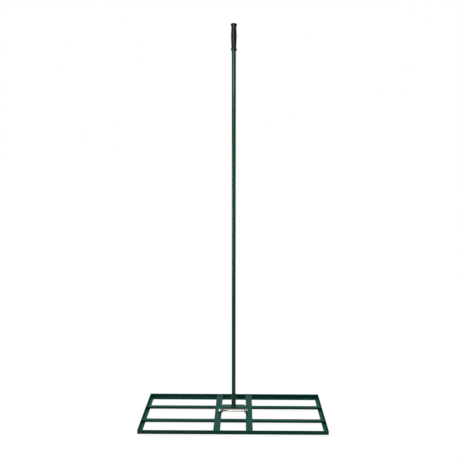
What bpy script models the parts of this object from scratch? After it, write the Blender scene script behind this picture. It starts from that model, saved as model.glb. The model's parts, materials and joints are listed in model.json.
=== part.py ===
"""A lawn leveler: an open welded frame of angle iron and flat bar that lies on the ground, and a long
handle of three tubes that tilts on a bolt across the middle of the frame.

Metres, +Z up. The origin is on the ground under the middle of the frame. +X runs along the frame to the
right and +Y to the rear. The handle stands upright at rest.
"""

import math

import bmesh
import bpy
from mathutils import Matrix, Vector

# Clearances
GAP = 0.0003  # between two pieces that touch
HOLE_CLEARANCE = 0.0003  # all round a bolt or a screw in its hole

# Frame of angle iron
FRAME_WIDTH = 0.9144
FRAME_DEPTH = 0.254
ANGLE_LEG = 0.020  # height of the leg that stands at the outer edge
ANGLE_FLANGE = 0.020  # width of the flange that lies on the ground
ANGLE_THICKNESS = 0.003
ANGLE_ROOT_RADIUS = 0.0024
ANGLE_TOE_RADIUS = 0.0012

# Cross bars and plates
CROSS_BAR_WIDTH = 0.0127
CROSS_BAR_HEIGHT = 0.011
CROSS_BAR_SPACING = 0.091  # between the bars' middles
CROSS_BARS_FORWARD = 0.0056  # from the frame's middle to halfway between the bars
CROSS_BAR_EDGE_RADIUS = 0.0008
PLATE_WIDTH = 0.033
PLATE_THICKNESS = 0.0032
FLAT_EDGE_RADIUS = 0.0005  # along the edges of the plates, the ears and the yoke
INNER_WIDTH = 0.1234  # between the two plates' inner edges, and between the ears

# Axle: the bolt, its nut and the lugs that carry it
AXLE_FORWARD = 0.004  # from the frame's middle towards the front
BOLT_DIAMETER = 0.009525
THREAD_LENGTH = 0.048
THREAD_RELIEF = 0.0001  # how much smaller the threaded stretch's radius is
HEX_ACROSS_FLATS = 0.0142875
HEX_HEAD_HEIGHT = 0.006
HEX_FACE_SHARE = 0.96  # of the distance across flats, that the chamfer leaves flat
HEX_CHAMFER_SLOPE = math.tan(math.radians(30))
HEX_TO_PLATE = 0.0006  # under the hexagon's lowest corner
NUT_HEX_HEIGHT = 0.0065
NUT_CROWN_HEIGHT = 0.0027
NUT_CROWN_WALL = 0.0008
NUT_RING_WALL = 0.0009
BOLT_TIP = 0.0024  # how far the bolt passes through the nut
BOLT_TIP_CHAMFER = 0.0012
EAR_WIDTH = 0.024
EAR_THICKNESS = 0.003
WASHER_DIAMETER = 0.020
WASHER_THICKNESS = 0.002

# Yoke
YOKE_WIDTH = 0.022  # of the bar that it is bent from
YOKE_THICKNESS = 0.004
YOKE_BEND_RADIUS = 0.003  # inside the bend
YOKE_RISE = 0.026  # from the axle to the top of the web

# Socket
SOCKET_HEIGHT = 0.065
SOCKET_WALL = 0.0013
COLLAR_HEIGHT = 0.028
COLLAR_WALL = 0.0013
COLLAR_CHAMFER = 0.0010
SCREW_DIAMETER = 0.005
SCREW_LENGTH = 0.006
SCREW_DROP = 0.012  # below the collar's top

# Poles
POLE_DIAMETER = 0.01905
POLE_WALL = 0.0012
POLE_END_CHAMFER = 0.0006
LOWER_POLE_LENGTH = 0.858
MIDDLE_POLE_LENGTH = 0.688
UPPER_POLE_LENGTH = 0.2804
INSERT_LENGTH = 0.035
STUD_DIAMETER = 0.010
STUD_LENGTH = 0.026
STUD_PLUG_LENGTH = 0.030

# Grip: wall round the pole at each station, and the station's height above the grip's lower edge
GRIP_LENGTH = 0.1108
GRIP_TOP_WALL = 0.006
GRIP_LIP_WALL = 0.0022
GRIP_BEAD_WALL = 0.0031
GRIP_BEAD_LOW, GRIP_BEAD_HIGH = 0.0022, 0.0078  # the bead's side is straight between them
GRIP_WAIST_WALL, GRIP_WAIST_HEIGHT = 0.0009, 0.0106
GRIP_BARREL_WALL, GRIP_BARREL_HEIGHT = 0.00255, 0.0590
GRIP_NECK_WALL, GRIP_NECK_HEIGHT = 0.00125, 0.1000
GRIP_FLANGE_WALL, GRIP_FLANGE_HEIGHT = 0.0036, 0.1032
GRIP_CROWN_DROP = 0.0020  # from the top down to where the flange starts to round over
GRIP_CROWN_RADIUS = 0.0114  # of the flat on top

# Facets
ROUND_SEGMENTS = 32
SMALL_ROUND_SEGMENTS = 24
ARC_STEPS = 3
END_STEPS = 12
GRIP_STEPS = 5
SMOOTH_ANGLE = math.radians(35)
CUTTER_OVERRUN = 0.001  # how far a cutter passes the piece it cuts

# Places that follow from the sizes
BAR_BOTTOM = ANGLE_THICKNESS + GAP
BAR_TOP = BAR_BOTTOM + CROSS_BAR_HEIGHT
PLATE_BOTTOM = BAR_TOP + GAP
PLATE_TOP = PLATE_BOTTOM + PLATE_THICKNESS
HEX_RADIUS = HEX_ACROSS_FLATS / math.sqrt(3)
AXLE_ABOVE_PLATE = HEX_RADIUS + HEX_TO_PLATE
AXLE = Vector((0, -AXLE_FORWARD, PLATE_TOP + AXLE_ABOVE_PLATE))
BOLT_RADIUS = BOLT_DIAMETER / 2
BOLT_HOLE_RADIUS = BOLT_RADIUS + HOLE_CLEARANCE
EAR_OUTSIDE = INNER_WIDTH / 2 + EAR_THICKNESS
HEX_SEAT = EAR_OUTSIDE + GAP  # where the head and the nut bear, to the right and to the left
NUT_HEIGHT = NUT_HEX_HEIGHT + NUT_CROWN_HEIGHT
YOKE_HALF_SPAN = INNER_WIDTH / 2 - WASHER_THICKNESS - 2 * GAP
POLE_RADIUS = POLE_DIAMETER / 2
POLE_BORE = POLE_RADIUS - POLE_WALL
SOCKET_FOOT = YOKE_RISE + GAP  # this and what follows are heights above the axle
SOCKET_TOP = SOCKET_FOOT + SOCKET_HEIGHT
SOCKET_BORE = POLE_RADIUS + GAP
SOCKET_RADIUS = SOCKET_BORE + SOCKET_WALL
COLLAR_BORE = SOCKET_RADIUS + GAP
COLLAR_RADIUS = COLLAR_BORE + COLLAR_WALL
LOWER_POLE_FOOT = SOCKET_FOOT
LOWER_JOINT = LOWER_POLE_FOOT + LOWER_POLE_LENGTH
MIDDLE_POLE_FOOT = LOWER_JOINT + GAP
UPPER_JOINT = MIDDLE_POLE_FOOT + MIDDLE_POLE_LENGTH
UPPER_POLE_FOOT = UPPER_JOINT + GAP
UPPER_POLE_TOP = UPPER_POLE_FOOT + UPPER_POLE_LENGTH
GRIP_BORE = POLE_RADIUS + GAP
GRIP_TOP = UPPER_POLE_TOP + GAP + GRIP_TOP_WALL
GRIP_FOOT = GRIP_TOP - GRIP_LENGTH


def clear_scene():
    for obj in list(bpy.data.objects):
        bpy.data.objects.remove(obj, do_unlink=True)


def finish(name, colour, roughness, metallic):
    """A plain material with its base colour in linear RGB."""
    made = bpy.data.materials.new(name)
    made.use_nodes = True
    shader = made.node_tree.nodes["Principled BSDF"]
    shader.inputs["Base Color"].default_value = (*colour, 1.0)
    shader.inputs["Roughness"].default_value = roughness
    shader.inputs["Metallic"].default_value = metallic
    made.diffuse_color = (*colour, 1.0)
    return made


def add_object(name, bm, material, location=(0, 0, 0), parent=None, smooth=False):
    """Turns a bmesh into a named object. The location is in the world, with or without a parent."""
    bmesh.ops.recalc_face_normals(bm, faces=bm.faces)
    mesh = bpy.data.meshes.new(name)
    bm.to_mesh(mesh)
    bm.free()
    if smooth:
        mesh.shade_smooth()
        mesh.set_sharp_from_angle(angle=SMOOTH_ANGLE)
    if material:
        mesh.materials.append(material)
    obj = bpy.data.objects.new(name, mesh)
    bpy.context.scene.collection.objects.link(obj)
    obj.parent = parent
    obj.location = Vector(location) - (parent.location if parent else Vector())
    return obj


def hide_helper(obj):
    obj.hide_render = True
    obj.display_type = "WIRE"
    return obj


def boolean(obj, operation, other):
    """Adds a Boolean with the default exact solver."""
    modifier = obj.modifiers.new(f"{operation.lower()} {other.name}", "BOOLEAN")
    modifier.operation = operation
    modifier.object = other


def round_edges(obj, width):
    modifier = obj.modifiers.new("rounded edges", "BEVEL")
    modifier.width = width
    modifier.segments = 2
    modifier.limit_method = "ANGLE"


def arc(centre, radius, start, end, steps=ARC_STEPS):
    """Points on a circular arc, its two ends included. Angles are in degrees."""
    angles = [math.radians(start + (end - start) * i / steps) for i in range(steps + 1)]
    return [(centre[0] + radius * math.cos(a), centre[1] + radius * math.sin(a)) for a in angles]


def extruded(outline, place_start, place_end):
    """Draws a closed outline as a face and extrudes it from its start places to its end places."""
    bm = bmesh.new()
    face = bm.faces.new([bm.verts.new(place_start(u, v)) for u, v in outline])
    grown = bmesh.ops.extrude_face_region(bm, geom=[face])
    far_side = next(item for item in grown["geom"] if isinstance(item, bmesh.types.BMFace))
    for vert, (u, v) in zip(far_side.verts, outline):
        vert.co = place_end(u, v)
    return bm


def turned(profile, ring=False, segments=ROUND_SEGMENTS):
    """Spins (radius, height) points round Z. A ring's profile is a closed loop clear of the axis."""
    bm = bmesh.new()
    verts = [bm.verts.new((radius, 0, height)) for radius, height in profile]
    edges = [bm.edges.new(pair) for pair in zip(verts, verts[1:])]
    if ring:
        edges.append(bm.edges.new((verts[-1], verts[0])))
    bmesh.ops.spin(
        bm,
        geom=verts + edges,
        cent=(0, 0, 0),
        axis=(0, 0, 1),
        angle=math.tau,
        steps=segments,
        use_merge=True,
    )
    bmesh.ops.remove_doubles(bm, verts=bm.verts, dist=1e-6)
    return bm


def tube(bore, radius, foot, top, chamfer=0.0, segments=ROUND_SEGMENTS):
    """A round tube with its outer ends chamfered."""
    if chamfer:
        outer = [
            (radius - chamfer, top),
            (radius, top - chamfer),
            (radius, foot + chamfer),
            (radius - chamfer, foot),
        ]
    else:
        outer = [(radius, top), (radius, foot)]
    return turned([(bore, top), *outer, (bore, foot)], ring=True, segments=segments)


def along_x(bm):
    """Lays a piece that was turned round Z along X, with its top to the right."""
    bmesh.ops.rotate(bm, verts=bm.verts, matrix=Matrix.Rotation(math.pi / 2, 3, "Y"))
    return bm


def angle_section():
    """Outline of the rolled angle: distance in from the outer face, and height above the ground."""
    root = ANGLE_THICKNESS + ANGLE_ROOT_RADIUS
    flange_toe = (ANGLE_FLANGE - ANGLE_TOE_RADIUS, ANGLE_THICKNESS - ANGLE_TOE_RADIUS)
    leg_toe = (ANGLE_THICKNESS - ANGLE_TOE_RADIUS, ANGLE_LEG - ANGLE_TOE_RADIUS)
    return [
        (0, 0),
        (ANGLE_FLANGE, 0),
        *arc(flange_toe, ANGLE_TOE_RADIUS, 0, 90),
        *arc((root, root), ANGLE_ROOT_RADIUS, 270, 180),
        *arc(leg_toe, ANGLE_TOE_RADIUS, 0, 90),
        (0, ANGLE_LEG),
    ]


def build_angle(name, half_length, outer_face, turn, material):
    """One side of the frame, mitred at both ends. Its outer face points to -Y before it is turned."""
    reach = half_length - GAP / math.sqrt(2)
    bm = extruded(
        angle_section(),
        lambda inward, height: (inward - reach, inward - outer_face, height),
        lambda inward, height: (reach - inward, inward - outer_face, height),
    )
    obj = add_object(name, bm, material)
    obj.rotation_euler.z = math.radians(turn)


def build_bar(name, size, middle, edge_radius, material):
    """A flat bar with its long edges rounded."""
    bm = bmesh.new()
    bmesh.ops.create_cube(bm, size=1, matrix=Matrix.Diagonal((*size, 1)))
    round_edges(add_object(name, bm, material, middle), edge_radius)


def build_frame(coat):
    """The four angles, the two cross bars that lie on the side angles, and the two plates on those."""
    build_angle("front_angle", FRAME_WIDTH / 2, FRAME_DEPTH / 2, 0, coat)
    build_angle("right_angle", FRAME_DEPTH / 2, FRAME_WIDTH / 2, 90, coat)
    build_angle("rear_angle", FRAME_WIDTH / 2, FRAME_DEPTH / 2, 180, coat)
    build_angle("left_angle", FRAME_DEPTH / 2, FRAME_WIDTH / 2, 270, coat)
    bar_length = FRAME_WIDTH - 2 * (ANGLE_THICKNESS + ANGLE_ROOT_RADIUS + GAP)
    bar_size = (bar_length, CROSS_BAR_WIDTH, CROSS_BAR_HEIGHT)
    for name, side in (("front_cross_bar", -1), ("rear_cross_bar", 1)):
        across = side * CROSS_BAR_SPACING / 2 - CROSS_BARS_FORWARD
        middle = (0, across, (BAR_BOTTOM + BAR_TOP) / 2)
        build_bar(name, bar_size, middle, CROSS_BAR_EDGE_RADIUS, coat)
    plate_size = (PLATE_WIDTH, FRAME_DEPTH - 2 * (ANGLE_THICKNESS + GAP), PLATE_THICKNESS)
    for name, side in (("left_plate", -1), ("right_plate", 1)):
        middle = (side * (INNER_WIDTH + PLATE_WIDTH) / 2, 0, (PLATE_BOTTOM + PLATE_TOP) / 2)
        build_bar(name, plate_size, middle, FLAT_EDGE_RADIUS, coat)


def build_ears(coat, bolt_hole):
    """Rounded lugs that stand on the plates' inner edges and carry the bolt."""
    foot = GAP - AXLE_ABOVE_PLATE
    half_width = EAR_WIDTH / 2
    outline = [(half_width, foot), *arc((0, 0), half_width, 0, 180, END_STEPS), (-half_width, foot)]
    for name, side in (("left_ear", -1), ("right_ear", 1)):
        bm = extruded(
            outline,
            lambda y, z: (-EAR_THICKNESS / 2, y, z),
            lambda y, z: (EAR_THICKNESS / 2, y, z),
        )
        middle = AXLE + Vector((side * (INNER_WIDTH + EAR_THICKNESS) / 2, 0, 0))
        ear = add_object(name, bm, coat, middle)
        round_edges(ear, FLAT_EDGE_RADIUS)
        boolean(ear, "DIFFERENCE", bolt_hole)


def hexagon(name, height, chamfer_both, seat):
    """A helper with the shape of a hexagon head or nut along X, with one corner up and one down. A shallow
    cone cuts its corners."""
    bm = bmesh.new()
    bmesh.ops.create_cone(
        bm,
        cap_ends=True,
        segments=6,
        radius1=HEX_RADIUS,
        radius2=HEX_RADIUS,
        depth=height,
        matrix=Matrix.Translation((0, 0, height / 2)) @ Matrix.Rotation(math.pi / 2, 4, "Z"),
    )
    prism = hide_helper(add_object(f"{name}_prism", along_x(bm), None, AXLE + Vector((seat, 0, 0))))
    face_radius = HEX_ACROSS_FLATS / 2 * HEX_FACE_SHARE
    wide = HEX_RADIUS + CUTTER_OVERRUN
    drop = (wide - face_radius) * HEX_CHAMFER_SLOPE
    lens = [(0, height), (face_radius, height), (wide, height - drop)]
    if chamfer_both:
        lens += [(wide, drop), (face_radius, 0), (0, 0)]
    else:
        lens += [(wide, -CUTTER_OVERRUN), (0, -CUTTER_OVERRUN)]
    cone = add_object(f"{name}_cone", along_x(turned(lens)), None, prism.location)
    boolean(prism, "INTERSECT", hide_helper(cone))
    return prism


def build_bolt(zinc):
    """The long bolt: its head bears on the right ear, and its thread passes through the nut."""
    tip = -HEX_SEAT - NUT_HEIGHT - BOLT_TIP
    thread_end = tip + THREAD_LENGTH
    thread_radius = BOLT_RADIUS - THREAD_RELIEF
    buried = HEX_SEAT + HEX_HEAD_HEIGHT / 2
    profile = [
        (0, buried),
        (BOLT_RADIUS, buried),
        (BOLT_RADIUS, thread_end + THREAD_RELIEF),
        (thread_radius, thread_end),
        (thread_radius, tip + BOLT_TIP_CHAMFER),
        (thread_radius - BOLT_TIP_CHAMFER, tip),
        (0, tip),
    ]
    shank = along_x(turned(profile, segments=SMALL_ROUND_SEGMENTS))
    bolt = add_object("pivot_bolt", shank, zinc, AXLE, smooth=True)
    boolean(bolt, "UNION", hexagon("bolt_head", HEX_HEAD_HEIGHT, False, HEX_SEAT))


def build_nut(zinc, nylon, bolt_hole):
    """The lock nut: a hexagon with a thin crown on its outer side, which holds the nylon ring."""
    hex_face = -HEX_SEAT - NUT_HEX_HEIGHT
    crown_end = hex_face - NUT_CROWN_HEIGHT
    ring_bore = BOLT_RADIUS + GAP
    ring_radius = ring_bore + NUT_RING_WALL
    crown_bore = ring_radius + GAP
    crown_radius = crown_bore + NUT_CROWN_WALL
    buried = hex_face + NUT_HEX_HEIGHT / 2
    profile = [
        (BOLT_HOLE_RADIUS, buried),
        (crown_radius, buried),
        (crown_radius, crown_end + NUT_CROWN_WALL),
        (crown_bore, crown_end),
        (crown_bore, hex_face),
        (BOLT_HOLE_RADIUS, hex_face),
    ]
    crown = along_x(turned(profile, ring=True, segments=SMALL_ROUND_SEGMENTS))
    crown = hide_helper(add_object("nut_crown", crown, None, AXLE))
    body = hexagon("nut_body", NUT_HEX_HEIGHT, True, hex_face)
    bm = bmesh.new()
    bm.from_mesh(body.data)
    nut = add_object("lock_nut", bm, zinc, body.location)
    boolean(nut, "INTERSECT", bpy.data.objects["nut_body_cone"])
    boolean(nut, "DIFFERENCE", bolt_hole)
    boolean(nut, "UNION", crown)
    ring = tube(ring_bore, ring_radius, crown_end + GAP, hex_face - GAP, segments=SMALL_ROUND_SEGMENTS)
    add_object("nut_ring", along_x(ring), nylon, AXLE, smooth=True)


def build_washers(zinc):
    """One washer between each leg of the yoke and its ear."""
    for name, inner in (("left_washer", GAP - INNER_WIDTH / 2), ("right_washer", YOKE_HALF_SPAN + GAP)):
        washer = tube(BOLT_HOLE_RADIUS, WASHER_DIAMETER / 2, inner, inner + WASHER_THICKNESS)
        add_object(name, along_x(washer), zinc, AXLE, smooth=True)


def yoke_outline():
    """The bent bar seen from the front: across, and height above the axle. The legs are cut later."""
    bend = YOKE_BEND_RADIUS + YOKE_THICKNESS
    across = YOKE_HALF_SPAN - bend
    height = YOKE_RISE - bend
    inside = YOKE_HALF_SPAN - YOKE_THICKNESS
    low = -YOKE_WIDTH
    return [
        (-YOKE_HALF_SPAN, low),
        *arc((-across, height), bend, 180, 90, 6),
        *arc((across, height), bend, 90, 0, 6),
        (YOKE_HALF_SPAN, low),
        (inside, low),
        *arc((across, height), YOKE_BEND_RADIUS, 0, 90, 6),
        *arc((-across, height), YOKE_BEND_RADIUS, 90, 180, 6),
        (-inside, low),
    ]


def build_yoke(coat, pivot, bolt_hole):
    """A flat bar bent to a U. A second outline, seen from the side, rounds the ends of its legs."""
    half_width = YOKE_WIDTH / 2
    wide = half_width + CUTTER_OVERRUN
    bm = extruded(
        yoke_outline(),
        lambda x, z: (x, -wide, z),
        lambda x, z: (x, wide, z),
    )
    yoke = add_object("yoke", bm, coat, AXLE, pivot)
    over = YOKE_RISE + CUTTER_OVERRUN
    side_outline = [(half_width, over), (-half_width, over), *arc((0, 0), half_width, 180, 360, END_STEPS)]
    reach = YOKE_HALF_SPAN + CUTTER_OVERRUN
    bm = extruded(
        side_outline,
        lambda y, z: (-reach, y, z),
        lambda y, z: (reach, y, z),
    )
    boolean(yoke, "INTERSECT", hide_helper(add_object("yoke_side", bm, None, AXLE)))
    round_edges(yoke, FLAT_EDGE_RADIUS)
    boolean(yoke, "DIFFERENCE", bolt_hole)


def build_socket(coat, zinc, pivot):
    """The tube that the pole stands in, the collar round its mouth, and the screw that clamps the pole."""
    socket = tube(SOCKET_BORE, SOCKET_RADIUS, SOCKET_FOOT, SOCKET_TOP)
    socket = add_object("handle_socket", socket, coat, AXLE, pivot, smooth=True)
    collar = tube(COLLAR_BORE, COLLAR_RADIUS, SOCKET_TOP - COLLAR_HEIGHT, SOCKET_TOP, COLLAR_CHAMFER)
    collar = add_object("socket_collar", collar, coat, AXLE, pivot, smooth=True)
    turn_to_rear = Matrix.Rotation(-math.pi / 2, 3, "X")
    screw_height = SOCKET_TOP - SCREW_DROP
    screw_radius = SCREW_DIAMETER / 2
    inner_end = POLE_RADIUS + GAP
    outer_end = inner_end + SCREW_LENGTH
    hex_depth = SCREW_LENGTH / 2
    screw = turned(
        [
            (0, outer_end - hex_depth),
            (screw_radius / 2, outer_end - hex_depth),
            (screw_radius / 2, outer_end),
            (screw_radius, outer_end),
            (screw_radius, inner_end),
            (0, inner_end),
        ],
        segments=12,
    )
    bmesh.ops.rotate(screw, verts=screw.verts, matrix=turn_to_rear)
    centre = AXLE + Vector((0, 0, screw_height))
    add_object("collar_screw", screw, zinc, centre, pivot, smooth=True)
    hole_radius = screw_radius + HOLE_CLEARANCE
    hole = turned([(0, outer_end), (hole_radius, outer_end), (hole_radius, POLE_BORE), (0, POLE_BORE)])
    bmesh.ops.rotate(hole, verts=hole.verts, matrix=turn_to_rear)
    hole = hide_helper(add_object("screw_hole", hole, None, centre))
    boolean(socket, "DIFFERENCE", hole)
    boolean(collar, "DIFFERENCE", hole)


def build_poles(coat, pivot):
    """The three tubes, one on top of the other."""
    for name, foot, top in (
        ("lower_pole", LOWER_POLE_FOOT, LOWER_JOINT),
        ("middle_pole", MIDDLE_POLE_FOOT, UPPER_JOINT),
        ("upper_pole", UPPER_POLE_FOOT, UPPER_POLE_TOP),
    ):
        pole = tube(POLE_BORE, POLE_RADIUS, foot, top, POLE_END_CHAMFER)
        add_object(name, pole, coat, AXLE, pivot, smooth=True)


def build_pole_joints(zinc, pivot):
    """A threaded plug in each lower tube's end, and in the tube above it a plug with a stud."""
    plug_radius = POLE_BORE - GAP
    stud_radius = STUD_DIAMETER / 2
    for name, joint in (("lower", LOWER_JOINT), ("upper", UPPER_JOINT)):
        insert = turned(
            [
                (stud_radius + GAP, joint),
                (plug_radius, joint),
                (plug_radius, joint - INSERT_LENGTH),
                (stud_radius + GAP, joint - INSERT_LENGTH),
            ],
            ring=True,
            segments=SMALL_ROUND_SEGMENTS,
        )
        add_object(f"{name}_insert", insert, zinc, AXLE, pivot, smooth=True)
        foot = joint + GAP
        stud = turned(
            [
                (0, foot + STUD_PLUG_LENGTH),
                (plug_radius, foot + STUD_PLUG_LENGTH),
                (plug_radius, foot),
                (stud_radius, foot),
                (stud_radius, foot - STUD_LENGTH),
                (0, foot - STUD_LENGTH),
            ],
            segments=SMALL_ROUND_SEGMENTS,
        )
        add_object(f"{name}_stud", stud, zinc, AXLE, pivot, smooth=True)


def grip_outline():
    """The grip's outer side from its lower edge up, easing from each station's radius to the next."""
    stations = [
        (GRIP_LIP_WALL, 0),
        (GRIP_BEAD_WALL, GRIP_BEAD_LOW),
        (GRIP_BEAD_WALL, GRIP_BEAD_HIGH),
        (GRIP_WAIST_WALL, GRIP_WAIST_HEIGHT),
        (GRIP_BARREL_WALL, GRIP_BARREL_HEIGHT),
        (GRIP_NECK_WALL, GRIP_NECK_HEIGHT),
        (GRIP_FLANGE_WALL, GRIP_FLANGE_HEIGHT),
    ]
    points = []
    for (wall, height), (next_wall, next_height) in zip(stations, stations[1:]):
        for step in range(GRIP_STEPS):
            share = step / GRIP_STEPS
            eased = (1 - math.cos(math.pi * share)) / 2
            radius = GRIP_BORE + wall + (next_wall - wall) * eased
            points.append((radius, GRIP_FOOT + height + (next_height - height) * share))
    flange_radius = GRIP_BORE + GRIP_FLANGE_WALL
    points.append((flange_radius, GRIP_FOOT + GRIP_FLANGE_HEIGHT))
    for step in range(GRIP_STEPS + 1):
        angle = math.pi / 2 * step / GRIP_STEPS
        radius = GRIP_CROWN_RADIUS + (flange_radius - GRIP_CROWN_RADIUS) * math.cos(angle)
        points.append((radius, GRIP_TOP - GRIP_CROWN_DROP * (1 - math.sin(angle))))
    return points


def build_grip(rubber, pivot):
    """A turned rubber sleeve, closed at the top, over the end of the upper pole."""
    inside_top = GRIP_TOP - GRIP_TOP_WALL
    profile = [(0, GRIP_TOP), *reversed(grip_outline()), (GRIP_BORE, GRIP_FOOT), (GRIP_BORE, inside_top)]
    grip = turned([*profile, (0, inside_top)])
    add_object("grip", grip, rubber, AXLE, pivot, smooth=True)


def build_bolt_hole():
    """The drill for the ears, the nut and the yoke's legs."""
    reach = HEX_SEAT + NUT_HEIGHT + CUTTER_OVERRUN
    profile = [(0, reach), (BOLT_HOLE_RADIUS, reach), (BOLT_HOLE_RADIUS, -reach), (0, -reach)]
    drill = along_x(turned(profile, segments=SMALL_ROUND_SEGMENTS))
    return hide_helper(add_object("bolt_hole", drill, None, AXLE))


def main():
    clear_scene()
    coat = finish("green powder coat", (0.010, 0.055, 0.032), 0.35, 0.0)
    zinc = finish("bright zinc plate", (0.62, 0.62, 0.60), 0.28, 1.0)
    nylon = finish("nylon", (0.65, 0.66, 0.60), 0.45, 0.0)
    rubber = finish("moulded rubber", (0.028, 0.030, 0.025), 0.60, 0.0)
    pivot = bpy.data.objects.new("handle_pivot", None)
    bpy.context.scene.collection.objects.link(pivot)
    pivot.location = AXLE
    bolt_hole = build_bolt_hole()
    build_frame(coat)
    build_ears(coat, bolt_hole)
    build_bolt(zinc)
    build_nut(zinc, nylon, bolt_hole)
    build_washers(zinc)
    build_yoke(coat, pivot, bolt_hole)
    build_socket(coat, zinc, pivot)
    build_poles(coat, pivot)
    build_pole_joints(zinc, pivot)
    build_grip(rubber, pivot)


main()
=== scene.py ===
"""The lawn leveler dressed for its portrait: coated steel frame, zinc plated pivot hardware, a coated pole
in three lengths and a rubber grip, on a pale floor under soft studio light.

Metres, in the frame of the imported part: +X right, +Y to the rear, +Z up, origin on the ground.
"""

import json
import math

import bmesh
import bpy
import numpy as np
from mathutils import Matrix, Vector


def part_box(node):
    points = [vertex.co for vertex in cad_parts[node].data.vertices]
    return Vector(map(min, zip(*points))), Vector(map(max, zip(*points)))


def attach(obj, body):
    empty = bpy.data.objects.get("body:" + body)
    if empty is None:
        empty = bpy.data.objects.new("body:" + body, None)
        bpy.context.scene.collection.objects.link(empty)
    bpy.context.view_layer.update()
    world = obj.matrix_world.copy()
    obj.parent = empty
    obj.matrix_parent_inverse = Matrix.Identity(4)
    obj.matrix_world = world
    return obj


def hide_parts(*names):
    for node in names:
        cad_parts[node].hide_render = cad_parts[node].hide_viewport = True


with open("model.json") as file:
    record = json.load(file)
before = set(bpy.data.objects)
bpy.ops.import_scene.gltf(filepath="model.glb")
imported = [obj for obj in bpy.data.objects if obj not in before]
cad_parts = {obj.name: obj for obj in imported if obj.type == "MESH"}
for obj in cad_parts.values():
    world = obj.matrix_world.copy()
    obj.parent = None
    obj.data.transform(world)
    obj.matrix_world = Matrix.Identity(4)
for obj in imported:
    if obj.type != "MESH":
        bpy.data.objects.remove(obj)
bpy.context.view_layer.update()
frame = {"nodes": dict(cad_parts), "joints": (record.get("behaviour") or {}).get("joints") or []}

MM = 0.001
TURN = 2 * math.pi

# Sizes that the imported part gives
BOX = {node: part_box(node) for node in frame["nodes"]}
AXLE = np.array(frame["joints"][0]["pos_m"])

# Sizes repeated from the part
GAP = 0.3 * MM  # between two pieces that touch
ANGLE_THICKNESS = 3.0 * MM
ANGLE_ROOT_RADIUS = 2.4 * MM
ANGLE_TOE_RADIUS = 1.2 * MM
CROSS_BAR_EDGE_RADIUS = 0.8 * MM
FLAT_EDGE_RADIUS = 0.5 * MM  # along the edges of the plates and the ears
HOLE_RADIUS = 5.0625 * MM
BOLT_RADIUS = 4.7625 * MM
BOLT_TIP_CHAMFER = 1.2 * MM
THREAD_LENGTH = 48 * MM
THREAD_RELIEF = 0.1 * MM  # how much smaller the threaded stretch's radius is
HEX_ACROSS_FLATS = 14.2875 * MM
HEX_FACE_RADIUS = 6.858 * MM  # of the flat that the chamfer leaves
HEX_CHAMFER_SLOPE = math.tan(math.radians(30))
NUT_CROWN_HEIGHT = 2.7 * MM
NUT_CROWN_WALL = 0.8 * MM
POLE_BORE = 8.325 * MM
GRIP_BORE = 9.825 * MM
GRIP_CROWN_FLAT = 11.4 * MM  # radius of the flat on top

# The grip from its foot up: wall round the bore, height above the foot
GRIP_STATIONS = MM * np.array(
    [
        (2.2, 0.0),
        (3.1, 2.2),
        (3.1, 7.8),
        (0.9, 10.6),
        (2.55, 59.0),
        (1.25, 100.0),
        (3.6, 103.2),
        (3.6, 108.8),
    ]
)

# Detail that the part leaves to this scene
THREAD_PITCH = 1.5875 * MM
THREAD_DEPTH = 0.97 * MM
HEEL_RADIUS = 0.4 * MM  # of the angle iron's outer corner and the outer edges of its legs
BROKEN_EDGE = 0.2 * MM  # round a drilled hole
TUBE_EDGE_RADIUS = 0.7 * MM
WELD_RIPPLE = 1.6 * MM  # from one of a bead's ripples to the next
PARTING_LINE = 0.2 * MM  # how far it stands proud of the grip

SMOOTH_ANGLE = math.radians(40)


# Colour and material helpers


def linear(hex_colour):
    """sRGB hex to linear RGBA, by the standard curve."""
    channels = [int(hex_colour[i : i + 2], 16) / 255 for i in (1, 3, 5)]
    curved = [c / 12.92 if c <= 0.04045 else ((c + 0.055) / 1.055) ** 2.4 for c in channels]
    return (*curved, 1.0)


def add(tree, kind, links=None, **settings):
    """Adds a node. Settings name its sockets or its properties, and links give each socket's source."""
    node = tree.nodes.new("ShaderNode" + kind)
    for name, value in settings.items():
        spoken = name.replace("_", " ")
        if hasattr(node, name):
            setattr(node, name, value)
        else:
            node.inputs[spoken].default_value = value
    for socket, source in (links or {}).items():
        tree.links.new(source, node.inputs[socket])
    return node


def new_material(name):
    """An empty material with its output node."""
    made = bpy.data.materials.new(name)
    made.use_nodes = True
    made.node_tree.nodes.clear()
    return made, made.node_tree, add(made.node_tree, "OutputMaterial")


def mottled(tree, place, scale, low, high, detail=3.0):
    """A noise between two values or two colours, at a scale of patches per metre."""
    noise = add(tree, "TexNoise", {"Vector": place}, Scale=scale, Detail=detail)
    ramp = add(tree, "ValToRGB", {"Fac": noise.outputs["Fac"]})
    ramp.color_ramp.elements[0].position = 0.3
    ramp.color_ramp.elements[1].position = 0.7
    for element, value in zip(ramp.color_ramp.elements, (low, high)):
        element.color = value if hasattr(value, "__len__") else (value, value, value, 1.0)
    return ramp.outputs["Color"]


def bumped(tree, place, scale, height, detail=2.0):
    """A normal from a noise of that scale, whose hills are that many metres high."""
    noise = add(tree, "TexNoise", {"Vector": place}, Scale=scale, Detail=detail)
    bump = add(tree, "Bump", {"Height": noise.outputs["Fac"]}, Strength=1.0, Distance=height)
    return bump.outputs["Normal"]


def seen_directly(tree):
    """1 on rays that the eye, a reflection or a refraction follows, and 0 on those that carry light."""
    path = add(tree, "LightPath")
    seen = path.outputs["Is Camera Ray"]
    for kind in ("Is Glossy Ray", "Is Transmission Ray"):
        seen = add(tree, "Math", {0: seen, 1: path.outputs[kind]}, operation="MAXIMUM").outputs[0]
    return seen


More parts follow.
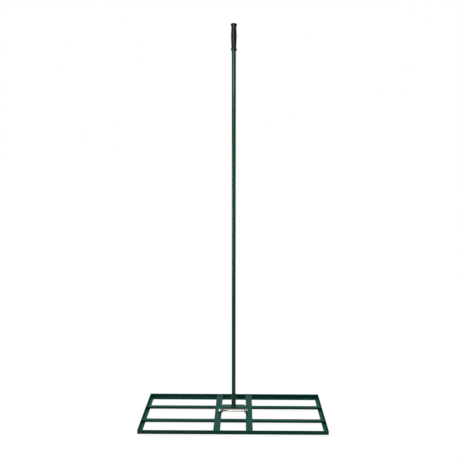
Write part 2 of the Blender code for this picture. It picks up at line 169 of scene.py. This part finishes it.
def powder_coat(name, dark, light, smooth, rough, sheen, peel):
    """Polyester powder, sprayed and baked on steel. It gives an even, deep colour with a satin gloss and a
    faint orange peel, of hills about 2 mm apart."""
    made, tree, out = new_material(name)
    place = add(tree, "TexCoord").outputs["Object"]
    shader = add(
        tree,
        "BsdfPrincipled",
        {
            "Base Color": mottled(tree, place, 22, linear(dark), linear(light)),
            "Roughness": mottled(tree, place, 60, smooth, rough),
            "Normal": bumped(tree, place, 480, peel),
        },
        Specular_IOR_Level=sheen,
    )
    tree.links.new(shader.outputs["BSDF"], out.inputs["Surface"])
    return made


def zinc_plate(name, dark, light, smooth, rough):
    """Steel with bright electroplated zinc. It gives a grey, slightly cloudy metal, with fine scratches
    round it from the drawn bar."""
    made, tree, out = new_material(name)
    place = add(tree, "TexCoord").outputs["Object"]
    drawn = add(tree, "Mapping", {"Vector": place}, Scale=(40, 2500, 2500)).outputs["Vector"]
    shader = add(
        tree,
        "BsdfPrincipled",
        {
            "Base Color": mottled(tree, place, 300, linear(dark), linear(light)),
            "Roughness": mottled(tree, place, 700, smooth, rough),
            "Normal": bumped(tree, drawn, 1, 0.01 * MM),
        },
        Metallic=1.0,
    )
    tree.links.new(shader.outputs["BSDF"], out.inputs["Surface"])
    return made


def moulded_rubber(name, dark, light):
    """Dark grey rubber, moulded in a blasted tool. It gives a dull sheen and a fine even grain about
    0.6 mm across."""
    made, tree, out = new_material(name)
    place = add(tree, "TexCoord").outputs["Object"]
    shader = add(
        tree,
        "BsdfPrincipled",
        {
            "Base Color": mottled(tree, place, 90, linear(dark), linear(light)),
            "Roughness": mottled(tree, place, 250, 0.22, 0.30),
            "Normal": bumped(tree, place, 1600, 0.008 * MM),
        },
        Specular_IOR_Level=0.04,
    )
    tree.links.new(shader.outputs["BSDF"], out.inputs["Surface"])
    return made


def nylon(name, dark, light):
    """Natural nylon, moulded. It gives a milky off-white with a soft gloss."""
    made, tree, out = new_material(name)
    place = add(tree, "TexCoord").outputs["Object"]
    shader = add(
        tree,
        "BsdfPrincipled",
        {
            "Base Color": mottled(tree, place, 400, linear(dark), linear(light)),
            "Normal": bumped(tree, place, 1200, 0.01 * MM),
        },
        Roughness=0.4,
        Subsurface_Weight=0.1,
    )
    tree.links.new(shader.outputs["BSDF"], out.inputs["Surface"])
    return made


# Shapes: each is a pair of points and faces, and several make one piece


def grid(points, wrap_rows=False, wrap_columns=True, caps=False):
    """Quads between the neighbours of a rows by columns grid of points, and a face over each end."""
    rows, columns = points.shape[:2]
    i, j = np.meshgrid(
        np.arange(rows if wrap_rows else rows - 1),
        np.arange(columns if wrap_columns else columns - 1),
        indexing="ij",
    )
    below, beside = (i + 1) % rows, (j + 1) % columns
    corners = [i * columns + j, i * columns + beside, below * columns + beside, below * columns + j]
    faces = np.stack(corners, axis=-1).reshape(-1, 4).tolist()
    if caps:
        first = list(range(columns))
        faces += [first, [index + (rows - 1) * columns for index in first]]
    return points.reshape(-1, 3), faces


def fill_mesh(mesh, shapes):
    """Puts the shapes into the mesh, merges what coincides and turns every face outward."""
    points, faces, count = [], [], 0
    for shape_points, shape_faces in shapes:
        points.append(shape_points)
        faces += [[index + count for index in face] for face in shape_faces]
        count += len(shape_points)
    mesh.from_pydata(np.vstack(points).tolist(), [], faces)
    clean(mesh)


def clean(mesh):
    """Merges doubles, turns faces outward, and shades smooth up to the angle of a real edge."""
    bm = bmesh.new()
    bm.from_mesh(mesh)
    bmesh.ops.remove_doubles(bm, verts=bm.verts, dist=1e-6)
    bmesh.ops.recalc_face_normals(bm, faces=bm.faces)
    bm.to_mesh(mesh)
    bm.free()
    mesh.shade_smooth()
    mesh.set_sharp_from_angle(angle=SMOOTH_ANGLE)


def place_piece(name, mesh, body, finish, nodes=()):
    """Makes the mesh a piece that rides on a body and stands for the CAD nodes that it replaces. Normals
    weighted by area keep the flat and the straight faces true beside their rounded edges."""
    mesh.materials.clear()
    mesh.materials.append(finish)
    obj = bpy.data.objects.new(name, mesh)
    bpy.context.scene.collection.objects.link(obj)
    obj.modifiers.new("weighted normals", "WEIGHTED_NORMAL").keep_sharp = True
    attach(obj, body)
    if nodes:
        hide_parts(*nodes)
    return obj


def make_piece(name, shapes, body, finish, nodes=()):
    """A new piece of the given shapes."""
    mesh = bpy.data.meshes.new(name)
    fill_mesh(mesh, shapes)
    return place_piece(name, mesh, body, finish, nodes)


def merged_copy(node, body, finish):
    """The CAD node's own shape, with its loose triangles merged so that its curves shade smoothly."""
    mesh = frame["nodes"][node].data.copy()
    for layer in list(mesh.attributes):
        if layer.name == "custom_normal":
            mesh.attributes.remove(layer)
    clean(mesh)
    return place_piece(f"{node}_finished", mesh, body, finish, [node])


def arc(centre, radius, start, end, steps):
    """Points on a circular arc from one angle to another, in degrees."""
    angles = np.radians(np.linspace(start, end, steps + 1))
    return np.stack([centre[0] + radius * np.cos(angles), centre[1] + radius * np.sin(angles)], axis=-1)


def turned_z(profile, centre, segments=64, closed=False):
    """Carries a profile of (radius, height) round an upright line through the centre."""
    profile = np.asarray(profile)
    angle = np.linspace(0, TURN, segments, endpoint=False)
    radius, height = profile[:, :1], profile[:, 1:]
    points = np.stack(
        [
            centre[0] + radius * np.cos(angle),
            centre[1] + radius * np.sin(angle),
            centre[2] + height + 0 * angle,
        ],
        axis=-1,
    )
    return grid(points, wrap_rows=closed)


def turned_x(profile, segments=48, closed=False):
    """Carries a profile of (radius, place along X) round the axle."""
    profile = np.asarray(profile)
    angle = np.linspace(0, TURN, segments, endpoint=False)
    radius, along = profile[:, :1], profile[:, 1:]
    points = np.stack(
        [
            along + 0 * angle,
            AXLE[1] + radius * np.cos(angle),
            AXLE[2] + radius * np.sin(angle),
        ],
        axis=-1,
    )
    return grid(points, wrap_rows=closed)


def rounded_ring(bore, radius, low, high, edge):
    """Closed profile of a tube whose outer edges are rounded and whose inner edges are broken."""
    return np.vstack(
        [
            [(bore, low + edge / 2), (bore + edge / 2, low)],
            arc((radius - edge, low + edge), edge, 270, 360, 5),
            arc((radius - edge, high - edge), edge, 0, 90, 5),
            [(bore + edge / 2, high), (bore, high - edge / 2)],
        ]
    )


def rounded_box(low, high, radius, steps=4):
    """A sphere's points, with each eighth of it moved out to its own corner of the box."""
    low, high = np.array(low) + radius, np.array(high) - radius
    rise = np.radians(np.concatenate([np.linspace(-90, 0, steps + 1), np.linspace(0, 90, steps + 1)]))
    upper = np.repeat([0, 1], steps + 1)
    round_it = np.radians(np.concatenate([np.linspace(q, q + 90, steps + 1) for q in (0, 90, 180, 270)]))
    quarter = np.repeat([0, 1, 2, 3], steps + 1)
    rise, round_it = np.meshgrid(rise, round_it, indexing="ij")
    right = np.isin(quarter, (0, 3))[None, :] & np.ones((len(upper), 1), bool)
    rear = np.isin(quarter, (0, 1))[None, :] & np.ones((len(upper), 1), bool)
    top = (upper == 1)[:, None] & np.ones((1, len(quarter)), bool)
    points = np.stack(
        [
            np.where(right, high[0], low[0]) + radius * np.cos(rise) * np.cos(round_it),
            np.where(rear, high[1], low[1]) + radius * np.cos(rise) * np.sin(round_it),
            np.where(top, high[2], low[2]) + radius * np.sin(rise),
        ],
        axis=-1,
    )
    return grid(points, caps=True)


def angle_iron(half_length, outer_face, quarter_turns):
    """The rolled section, as a closed line of (distance in from the outer face, height), carried along one
    side of the frame. Each point stops short of the corner by its own distance in, which is the mitre."""
    leg, thick = BOX["front_angle"][1].z, ANGLE_THICKNESS
    root = thick + ANGLE_ROOT_RADIUS
    heel, toe = HEEL_RADIUS, ANGLE_TOE_RADIUS
    section = np.vstack(
        [
            arc((heel, heel), heel, 180, 270, 4),
            arc((leg - heel, heel), heel, 270, 360, 4),
            arc((leg - toe, thick - toe), toe, 0, 90, 6),
            arc((root, root), ANGLE_ROOT_RADIUS, 270, 180, 8),
            arc((thick - toe, leg - toe), toe, 0, 90, 6),
            arc((heel, leg - heel), heel, 90, 180, 4),
        ]
    )
    inward, height = section[:, 0], section[:, 1]
    share = np.linspace(-1, 1, 41)[:, None]
    mitre_gap = 0.05 * MM
    along = share * (half_length - mitre_gap - inward)
    across = inward - outer_face + 0 * share
    turn = math.radians(90 * quarter_turns)
    points = np.stack(
        [
            along * math.cos(turn) - across * math.sin(turn),
            along * math.sin(turn) + across * math.cos(turn),
            height + 0 * share,
        ],
        axis=-1,
    )
    return grid(points, caps=True)


def weld_bead(start, end, radius, wander=0.0, wide=1.0):
    """A tube round the line from start to end. Its radius closes at both ends and swells once per ripple,
    and the ripples lean back as the puddle's scales do."""
    start, end = np.array(start, float), np.array(end, float)
    length = np.linalg.norm(end - start)
    forward = (end - start) / length
    side = np.cross(forward, (0, 0, 1) if abs(forward[2]) < 0.9 else (1, 0, 0))
    side /= np.linalg.norm(side)
    up = np.cross(side, forward)
    ripples = max(3, round(length / WELD_RIPPLE))
    share = np.linspace(0, 1, ripples * 6 + 1)[:, None]
    angle = np.linspace(0, TURN, 16, endpoint=False)[None, :]
    close = (1 - np.abs(2 * share - 1) ** 5) ** 0.5
    scale = np.abs(np.sin(math.pi * (ripples * share + 0.35 * np.cos(angle)))) ** 0.7
    size = radius * close * (0.86 + 0.14 * scale) * (1 + 0.05 * np.sin(9 * share + wander))
    points = (
        start
        + (end - start) * share[..., None]
        + side * wide * (size * np.cos(angle))[..., None]
        + up * (size * np.sin(angle))[..., None]
    )
    return grid(points)


def ring_weld(centre, ring_radius, radius):
    """The same rippled bead, bent to a ring round an upright tube."""
    ripples = round(TURN * ring_radius / WELD_RIPPLE)
    along = np.linspace(0, TURN, ripples * 6, endpoint=False)[:, None]
    angle = np.linspace(0, TURN, 16, endpoint=False)[None, :]
    scale = np.abs(np.sin(0.5 * ripples * along + 0.35 * math.pi * np.cos(angle))) ** 0.7
    size = radius * (0.86 + 0.14 * scale) * (1 + 0.05 * np.sin(3 * along))
    reach = ring_radius + size * np.cos(angle)
    points = np.stack(
        [
            centre[0] + reach * np.cos(along),
            centre[1] + reach * np.sin(along),
            centre[2] + size * np.sin(angle),
        ],
        axis=-1,
    )
    return grid(points, wrap_rows=True)


# Camera, lights, floor


def set_camera():
    """The photograph's view: just right of the pole at chest height, tilted down a little, with a shift
    that puts the whole pole in the frame."""
    place = (0.0442, -1.6484, 1.3715)
    turned, down, rolled = 0.086, 8.5, 0.245
    data = bpy.data.cameras.new("camera")
    data.sensor_width, data.lens = 36, 28
    data.shift_x, data.shift_y = -0.0277, -0.0708
    data.clip_end = 60
    camera = bpy.data.objects.new("camera", data)
    bpy.context.scene.collection.objects.link(camera)
    turn = Matrix.Rotation(math.radians(turned), 4, "Z")
    tilt = Matrix.Rotation(math.radians(90 - down), 4, "X")
    roll = Matrix.Rotation(math.radians(rolled), 4, "Z")
    camera.matrix_world = Matrix.Translation(place) @ turn @ tilt @ roll
    bpy.context.scene.camera = camera


def add_lamp(name, kind, place, aim, **settings):
    """A lamp at a place, whose -Z looks at the aim and whose Y stays upright."""
    data = bpy.data.lights.new(name, kind)
    for setting, value in settings.items():
        setattr(data, setting, value)
    lamp = bpy.data.objects.new(name, data)
    bpy.context.scene.collection.objects.link(lamp)
    way = np.subtract(aim, place)
    lamp.location = place
    lamp.rotation_euler = (math.atan2(math.hypot(way[0], way[1]), -way[2]), 0, math.atan2(-way[0], way[1]))
    lamp.visible_camera = False
    return lamp


def set_lights():
    """A very wide soft light above and behind, which the upward faces show, a soft key from the left front,
    and three strips on the left that only gloss shows: they draw the light lines on the grip, on the upper
    pole and on the lower pole."""
    behind, middle = (0, 2.0, 2.9), (0, 0, 0)
    spread = math.radians(60)
    soft = add_lamp("wide_soft_light", "SUN", behind, middle, energy=1.9, angle=spread)
    soft.visible_glossy = False
    add_lamp("rear_sheen", "SUN", behind, middle, energy=0.68, angle=spread)
    add_lamp("soft_key", "AREA", (-0.9, -2.0, 2.9), (0, 0, 0.9), shape="DISK", size=1.0, energy=24)
    for name, place, aim, (wide, high), energy in (
        ("grip_strip", (-0.46, -1.95, 2.5), (0, 0, 1.83), (0.3, 0.2), 34),
        ("upper_strip", (-0.66, -2.09, 2.03), (0, 0, 1.6), (0.6, 0.25), 80),
        ("side_strip", (-1.88, -0.68, 0.65), (0, 0, 0.65), (0.7, 1.3), 155),
    ):
        strip = add_lamp(name, "AREA", place, aim, shape="RECTANGLE", size=wide, size_y=high, energy=energy)
        strip.visible_diffuse = False


def set_world():
    """A white surround for the eye and for reflections, and a softer one as a source of light."""
    world = bpy.data.worlds.new("studio")
    bpy.context.scene.world = world
    world.use_nodes = True
    tree = world.node_tree
    tree.nodes.clear()
    soft = add(tree, "Background", Color=linear("#f4f8ff"), Strength=0.20)
    white = add(tree, "Background", Color=(1, 1, 1, 1), Strength=1.0)
    mix = add(tree, "MixShader", {0: seen_directly(tree), 1: soft.outputs[0], 2: white.outputs[0]})
    out = add(tree, "OutputWorld")
    tree.links.new(mix.outputs[0], out.inputs["Surface"])


def set_floor():
    """A white sweep, a hair below the part's feet. To the eye and to reflections it shows thinner paint and
    the glow that brings it level with the surround, and it keeps the object's shadow."""
    made, tree, out = new_material("white_sweep")
    paint = add(tree, "BsdfDiffuse", Color=linear("#bcbcbc"))
    thin_paint = add(tree, "BsdfDiffuse", Color=linear("#626262"))
    glow = add(tree, "Emission", Color=(1, 1, 1, 1), Strength=0.90)
    lit = add(tree, "AddShader", {0: thin_paint.outputs[0], 1: glow.outputs[0]})
    mix = add(tree, "MixShader", {0: seen_directly(tree), 1: paint.outputs[0], 2: lit.outputs[0]})
    tree.links.new(mix.outputs[0], out.inputs["Surface"])
    mesh = bpy.data.meshes.new("floor")
    half, drop = 25, -0.0002
    corners = [(-half, -half, drop), (half, -half, drop), (half, half, drop), (-half, half, drop)]
    mesh.from_pydata(corners, [], [(0, 1, 2, 3)])
    mesh.materials.append(made)
    floor = bpy.data.objects.new("floor", mesh)
    bpy.context.scene.collection.objects.link(floor)


# The frame's pieces


def dress_angles(coat):
    """The four sides, in the order of their quarter turns from the front one."""
    half_width, half_depth = -BOX["left_angle"][0].x, -BOX["front_angle"][0].y
    for turns, node in enumerate(("front_angle", "right_angle", "rear_angle", "left_angle")):
        sizes = (half_width, half_depth) if turns % 2 == 0 else (half_depth, half_width)
        shape = angle_iron(*sizes, turns)
        make_piece(f"{node}_finished", [shape], "head", coat, [node])


def dress_bars(coat):
    """The cross bars and the plates, as boxes with rounded edges."""
    edges = {
        "front_cross_bar": CROSS_BAR_EDGE_RADIUS,
        "rear_cross_bar": CROSS_BAR_EDGE_RADIUS,
        "left_plate": FLAT_EDGE_RADIUS,
        "right_plate": FLAT_EDGE_RADIUS,
    }
    for node, edge in edges.items():
        shape = rounded_box(*BOX[node], edge)
        make_piece(f"{node}_finished", [shape], "head", coat, [node])


def dress_ears(coat):
    """Round the bolt's hole, each direction has its reach to the ear's outline: the circle on top, the
    straight sides and the foot below. The closed profile runs from the hole over the rounded rim and back."""
    low, high = BOX["left_ear"]
    round_top, foot = high.z - AXLE[2], AXLE[2] - low.z
    thick, edge, broken = high.x - low.x, FLAT_EDGE_RADIUS, BROKEN_EDGE
    corner = math.atan2(foot, round_top)
    even = np.linspace(0, TURN, 96, endpoint=False)
    angle = np.sort(np.concatenate([even, [-corner, corner + math.pi]]) % TURN)
    side = round_top / np.maximum(np.abs(np.cos(angle)), 1e-9)
    base = foot / np.maximum(-np.sin(angle), 1e-9)
    outline = np.where(np.sin(angle) >= 0, round_top, np.minimum(side, base))
    rim = np.vstack([arc((-edge, edge), edge, -90, 0, 4), arc((-edge, thick - edge), edge, 0, 90, 4)])
    reach = np.vstack(
        [
            [HOLE_RADIUS + 0 * angle, HOLE_RADIUS + broken + 0 * angle],
            outline + rim[:, :1],
            [HOLE_RADIUS + broken + 0 * angle, HOLE_RADIUS + 0 * angle],
        ]
    )
    depth = np.concatenate([[broken, 0], rim[:, 1], [thick, thick - broken]])[:, None]
    for node in ("left_ear", "right_ear"):
        points = np.stack(
            [
                BOX[node][0].x + depth + 0 * angle,
                AXLE[1] + reach * np.cos(angle),
                AXLE[2] + reach * np.sin(angle),
            ],
            axis=-1,
        )
        shape = grid(points, wrap_rows=True)
        make_piece(f"{node}_finished", [shape], "head", coat, [node])


def hexagon_reach(angle):
    """Distance from the middle to the side of the hexagon, with one corner up and one down."""
    return HEX_ACROSS_FLATS / 2 / np.cos((angle + TURN / 12) % (TURN / 6) - TURN / 12)


def hexagon_shape(rows, segments=96):
    """Rows of (radius or 'hex', place along X, which way the face looks). On a hexagon row the place moves
    back from the face as far as the shallow cone of the chamfer does at that reach."""
    angle = np.linspace(0, TURN, segments, endpoint=False)
    reach, along = [], []
    for radius, place, looks in rows:
        if radius == "hex":
            row = hexagon_reach(angle)
            along.append(place - looks * (row - HEX_FACE_RADIUS).clip(0) * HEX_CHAMFER_SLOPE)
        else:
            row = radius + 0 * angle
            along.append(place + 0 * angle)
        reach.append(row)
    reach, along = np.array(reach), np.array(along)
    return np.stack([along, AXLE[1] + reach * np.cos(angle), AXLE[2] + reach * np.sin(angle)], axis=-1)


def dress_bolt(zinc, thread_zinc):
    """The shank is a tube of the bolt's radius. On the thread a blunt V is cut into it, which winds one
    pitch forward per turn and fades out over its last two turns. The head is a chamfered hexagon."""
    low, high = BOX["pivot_bolt"]
    seat = BOX["right_ear"][1].x + GAP
    thread_end = low.x + THREAD_LENGTH
    angle = np.linspace(0, TURN, 48, endpoint=False)[None, :]
    along = np.arange(low.x, thread_end + THREAD_PITCH, THREAD_PITCH / 12)[:, None]
    phase = (along / THREAD_PITCH - angle / TURN) % 1
    cut = (1.35 * np.abs(2 * phase - 1) - 0.2).clip(0, 1)
    fade = ((thread_end - along) / (2 * THREAD_PITCH)).clip(0, 1)
    radius = BOLT_RADIUS - THREAD_RELIEF * fade - THREAD_DEPTH * cut * fade
    radius = np.minimum(radius, BOLT_RADIUS - BOLT_TIP_CHAMFER + (along - low.x))
    points = np.stack(
        [along + 0 * angle, AXLE[1] + radius * np.cos(angle), AXLE[2] + radius * np.sin(angle)],
        axis=-1,
    )
    start = points[-1, 0, 0]
    plain = turned_x([(0, start), (BOLT_RADIUS, start), (BOLT_RADIUS, seat), (0, seat)])
    face_edge, face_drop = 0.3 * MM, 0.06 * MM
    head = hexagon_shape(
        [
            (0, high.x, 1),
            (HEX_FACE_RADIUS - face_edge, high.x, 1),
            (HEX_FACE_RADIUS, high.x - face_drop, 1),
            ("hex", high.x - face_drop, 1),
            ("hex", seat, 0),
            (0, seat, 1),
        ]
    )
    make_piece("pivot_bolt_finished", [plain, grid(head)], "head", zinc, ["pivot_bolt"])
    make_piece("pivot_bolt_thread", [grid(points, caps=True)], "head", thread_zinc)


def dress_nut(zinc, white_nylon):
    """A hexagon with both faces chamfered, and on its outer side a thin crown rolled over the nylon ring."""
    low, high = BOX["lock_nut"]
    shoulder = low.x + NUT_CROWN_HEIGHT
    ring = BOX["nut_ring"]
    crown_bore = (ring[1].z - ring[0].z) / 2 + GAP
    crown = crown_bore + NUT_CROWN_WALL
    fillet, lip = 0.3 * MM, 0.45 * MM
    rows = [
        (HOLE_RADIUS, high.x, 1),
        (HEX_FACE_RADIUS, high.x, 1),
        ("hex", high.x, 1),
        ("hex", shoulder, -1),
        (crown + fillet, shoulder, 1),
        (crown, shoulder - fillet, 1),
        (crown, low.x + lip, 1),
        *[(crown - lip + r, low.x + lip - h, 1) for r, h in arc((0, 0), lip, 0, 180, 8)],
        (crown_bore, shoulder, 1),
        (HOLE_RADIUS, shoulder, 1),
    ]
    make_piece(
        "lock_nut_finished",
        [grid(hexagon_shape(rows), wrap_rows=True)],
        "head",
        zinc,
        ["lock_nut"],
    )
    merged_copy("nut_ring", "head", white_nylon)


def dress_washers(zinc):
    """Punched discs, with edges rounded to 0.3 mm."""
    for node in ("left_washer", "right_washer"):
        low, high = BOX[node]
        profile = rounded_ring(HOLE_RADIUS, (high.z - low.z) / 2, low.x, high.x, 0.3 * MM)
        make_piece(f"{node}_finished", [turned_x(profile, closed=True)], "head", zinc, [node])


def frame_welds(coat):
    """Beads at the frame's mitres: across each flange, and up the inside of each corner."""
    half_width, half_depth = -BOX["left_angle"][0].x, -BOX["front_angle"][0].y
    beads = []
    for x in (-1, 1):
        for y in (-1, 1):
            corner = np.array([x * half_width, y * half_depth, 0])
            inward = np.array([-x, -y, 0.0])
            root = corner + inward * (ANGLE_THICKNESS + 1.0 * MM)
            toe = corner + inward * 19.2 * MM
            lift = np.array([0, 0, ANGLE_THICKNESS])
            beads.append(weld_bead(root + lift, toe + lift, 1.7 * MM, x + y))
            up = np.array([0, 0, BOX["front_angle"][1].z - 0.6 * MM])
            beads.append(weld_bead(root + lift, root + up, 1.6 * MM, x - y))
    make_piece("corner_welds", beads, "head", coat)


def cross_bar_welds(coat):
    """Beads where the cross bars lie on the side angles: along both sides, and over the end."""
    beads = []
    toe = BOX["right_angle"][0].x + 1 * MM
    root = BOX["right_angle"][1].x - ANGLE_THICKNESS - 1 * MM
    low_bead = ANGLE_THICKNESS + 0.6 * MM
    for node in ("front_cross_bar", "rear_cross_bar"):
        low, high = BOX[node]
        high_bead = high.z - 1.2 * MM
        for x in (-1, 1):
            for y in (low.y, high.y):
                start, end = (x * toe, y, low_bead), (x * root, y, low_bead)
                beads.append(weld_bead(start, end, 1.9 * MM, y * 90))
            over = x * (high.x + 0.9 * MM)
            start, end = (over, low.y - 0.5 * MM, high_bead), (over, high.y + 0.5 * MM, high_bead)
            beads.append(weld_bead(start, end, 2.2 * MM))
    make_piece("cross_bar_welds", beads, "head", coat)


def plate_welds(coat):
    """Beads where the plates cross the bars, and where their ends meet the long angles' legs. Those at the
    rear are wide and flat."""
    beads = []
    for plate in ("left_plate", "right_plate"):
        low, high = BOX[plate]
        for bar in ("front_cross_bar", "rear_cross_bar"):
            bar_low, bar_high = BOX[bar]
            height = bar_high.z + 0.5 * MM
            for x in (low.x, high.x):
                start, end = (x, bar_low.y + 1 * MM, height), (x, bar_high.y - 1 * MM, height)
                beads.append(weld_bead(start, end, 1.5 * MM, x * 90))
        for y, height, radius, wide in (
            (low.y, high.z - 0.4 * MM, 1.9 * MM, 1.0),
            (high.y - 3.4 * MM, high.z, 2.1 * MM, 1.9),
        ):
            start, end = (low.x + 1 * MM, y, height), (high.x - 1 * MM, y, height)
            beads.append(weld_bead(start, end, radius, y * 50, wide))
    make_piece("plate_welds", beads, "head", coat)


def ear_welds(coat):
    """Short beads at the front and rear of each ear's foot, and round the corners to its outer side."""
    beads = []
    foot = BOX["left_plate"][1].z + GAP
    for node in ("left_ear", "right_ear"):
        low, high = BOX[node]
        outer = high.x if node == "right_ear" else low.x
        for y, way in ((low.y, -1), (high.y, 1)):
            past = y + way * 0.2 * MM
            start, end = (low.x + 0.5 * MM, past, foot), (high.x - 0.2 * MM, past, foot)
            beads.append(weld_bead(start, end, 1.6 * MM, y * 70))
            beads.append(weld_bead((outer, y, foot), (outer, y - way * 4.5 * MM, foot), 1.3 * MM, y * 30))
    make_piece("ear_welds", beads, "head", coat)


# The handle's pieces


def dress_socket(coat, yoke_coat):
    """The yoke, the socket and its collar in their own shapes, and the bead round the socket's foot."""
    # the socket and collar take the lower pole's coat, whose bluer, darker tint is painted shade
    for node, node_coat in (("yoke", yoke_coat), ("handle_socket", coat), ("socket_collar", coat)):
        merged_copy(node, "handle", node_coat)
    low, high = BOX["handle_socket"]
    foot = (0, AXLE[1], low.z + GAP)
    bead = ring_weld(foot, (high.x - low.x) / 2 + 0.4 * MM, 1.7 * MM)
    make_piece("socket_weld", [bead], "handle", coat)


def dress_poles(upper_coat, lower_coat_painted_shade):
    """Each length is a tube with its ends rolled in slightly, so that the joints show as fine grooves. The
    lowest gets a coat a little bluer and darker than the others: painted shade, for the cooler, dimmer light
    low on the handle."""
    for node, coat in (("lower_pole", lower_coat_painted_shade), ("middle_pole", upper_coat), ("upper_pole", upper_coat)):
        low, high = BOX[node]
        profile = rounded_ring(POLE_BORE, (high.x - low.x) / 2, low.z, high.z, TUBE_EDGE_RADIUS)
        shape = turned_z(profile, (0, AXLE[1], 0), closed=True)
        make_piece(f"{node}_finished", [shape], "handle", coat, [node])


def dress_hidden_fittings(zinc):
    """The plugs and studs inside the pole and the screw behind the collar, in their own shapes."""
    for node in ("lower_insert", "lower_stud", "upper_insert", "upper_stud", "collar_screw"):
        merged_copy(node, "handle", zinc)


def dress_grip(rubber):
    """A turned skin: the outer radius eases by cosines from station to station up to the flange and rounds
    over the crown. A fine parting line stands proud along the grip's left and right."""
    low, high = BOX["grip"]
    length, steps = high.z - low.z, 24
    walls, heights = GRIP_STATIONS.T
    spans = zip(heights[:-1], heights[1:])
    rising = np.concatenate([np.linspace(foot, top, steps, endpoint=False) for foot, top in spans])
    index = np.repeat(np.arange(len(heights) - 1), steps)
    share = (rising - heights[index]) / (heights[index + 1] - heights[index])
    eased = (1 - np.cos(math.pi * share)) / 2
    wall = walls[index] + (walls[index + 1] - walls[index]) * eased
    crown = np.radians(np.linspace(0, 90, 17))
    flange, shoulder = GRIP_BORE + walls[-1], heights[-1]
    bore_top = BOX["upper_pole"][1].z + GAP - low.z
    outer = np.concatenate(
        [
            [0, GRIP_BORE, GRIP_BORE],
            GRIP_BORE + wall,
            GRIP_CROWN_FLAT + (flange - GRIP_CROWN_FLAT) * np.cos(crown),
            [0],
        ]
    )
    height = np.concatenate(
        [
            [bore_top, bore_top, 0],
            rising,
            shoulder + (length - shoulder) * np.sin(crown),
            [length],
        ]
    )
    angle = np.linspace(0, TURN, 96, endpoint=False)
    seam = np.exp(-((np.abs(np.sin(angle)) / 0.035) ** 2))
    has_seam = (height > 1 * MM) & (height < 110 * MM) & (outer > GRIP_BORE)
    radius = outer[:, None] + PARTING_LINE * seam[None, :] * has_seam[:, None]
    points = np.stack(
        [
            radius * np.cos(angle),
            AXLE[1] + radius * np.sin(angle),
            low.z + height[:, None] + 0 * angle,
        ],
        axis=-1,
    )
    make_piece("grip_finished", [grid(points)], "handle", rubber, ["grip"])


def main():
    scene = bpy.context.scene
    scene.view_settings.view_transform = "Standard"
    set_camera()
    set_world()
    set_lights()
    set_floor()
    frame_coat = powder_coat("frame_powder_coat", "#08453b", "#0a493f", 0.26, 0.34, 0.075, 0.02 * MM)
    upper_coat = powder_coat("upper_pole_powder_coat", "#1c5935", "#1e5d38", 0.23, 0.27, 0.06, 0.006 * MM)
    # painted shade: the coat of the lower pole, socket and collar is a little bluer and darker, for the
    # cooler, dimmer light low on the handle
    lower_coat_painted_shade = powder_coat("lower_pole_powder_coat_painted_shade", "#1c5338", "#1e573b", 0.24, 0.28, 0.055, 0.006 * MM)
    yoke_coat = powder_coat("yoke_powder_coat", "#08463d", "#0a4a41", 0.20, 0.26, 0.16, 0.02 * MM)
    zinc = zinc_plate("bright_zinc_plate", "#928f87", "#a09d94", 0.28, 0.38)
    thread_zinc = zinc_plate("zinc_plate_on_thread", "#8f897c", "#a09a8c", 0.32, 0.42)
    rubber = moulded_rubber("moulded_grip_rubber", "#23251a", "#292b1f")
    white_nylon = nylon("natural_nylon", "#d8d8cc", "#e4e4da")
    dress_angles(frame_coat)
    dress_bars(frame_coat)
    dress_ears(frame_coat)
    dress_bolt(zinc, thread_zinc)
    dress_nut(zinc, white_nylon)
    dress_washers(zinc)
    frame_welds(frame_coat)
    cross_bar_welds(frame_coat)
    plate_welds(frame_coat)
    ear_welds(frame_coat)
    dress_socket(lower_coat_painted_shade, yoke_coat)
    dress_poles(upper_coat, lower_coat_painted_shade)
    dress_hidden_fittings(zinc)
    dress_grip(rubber)


main()
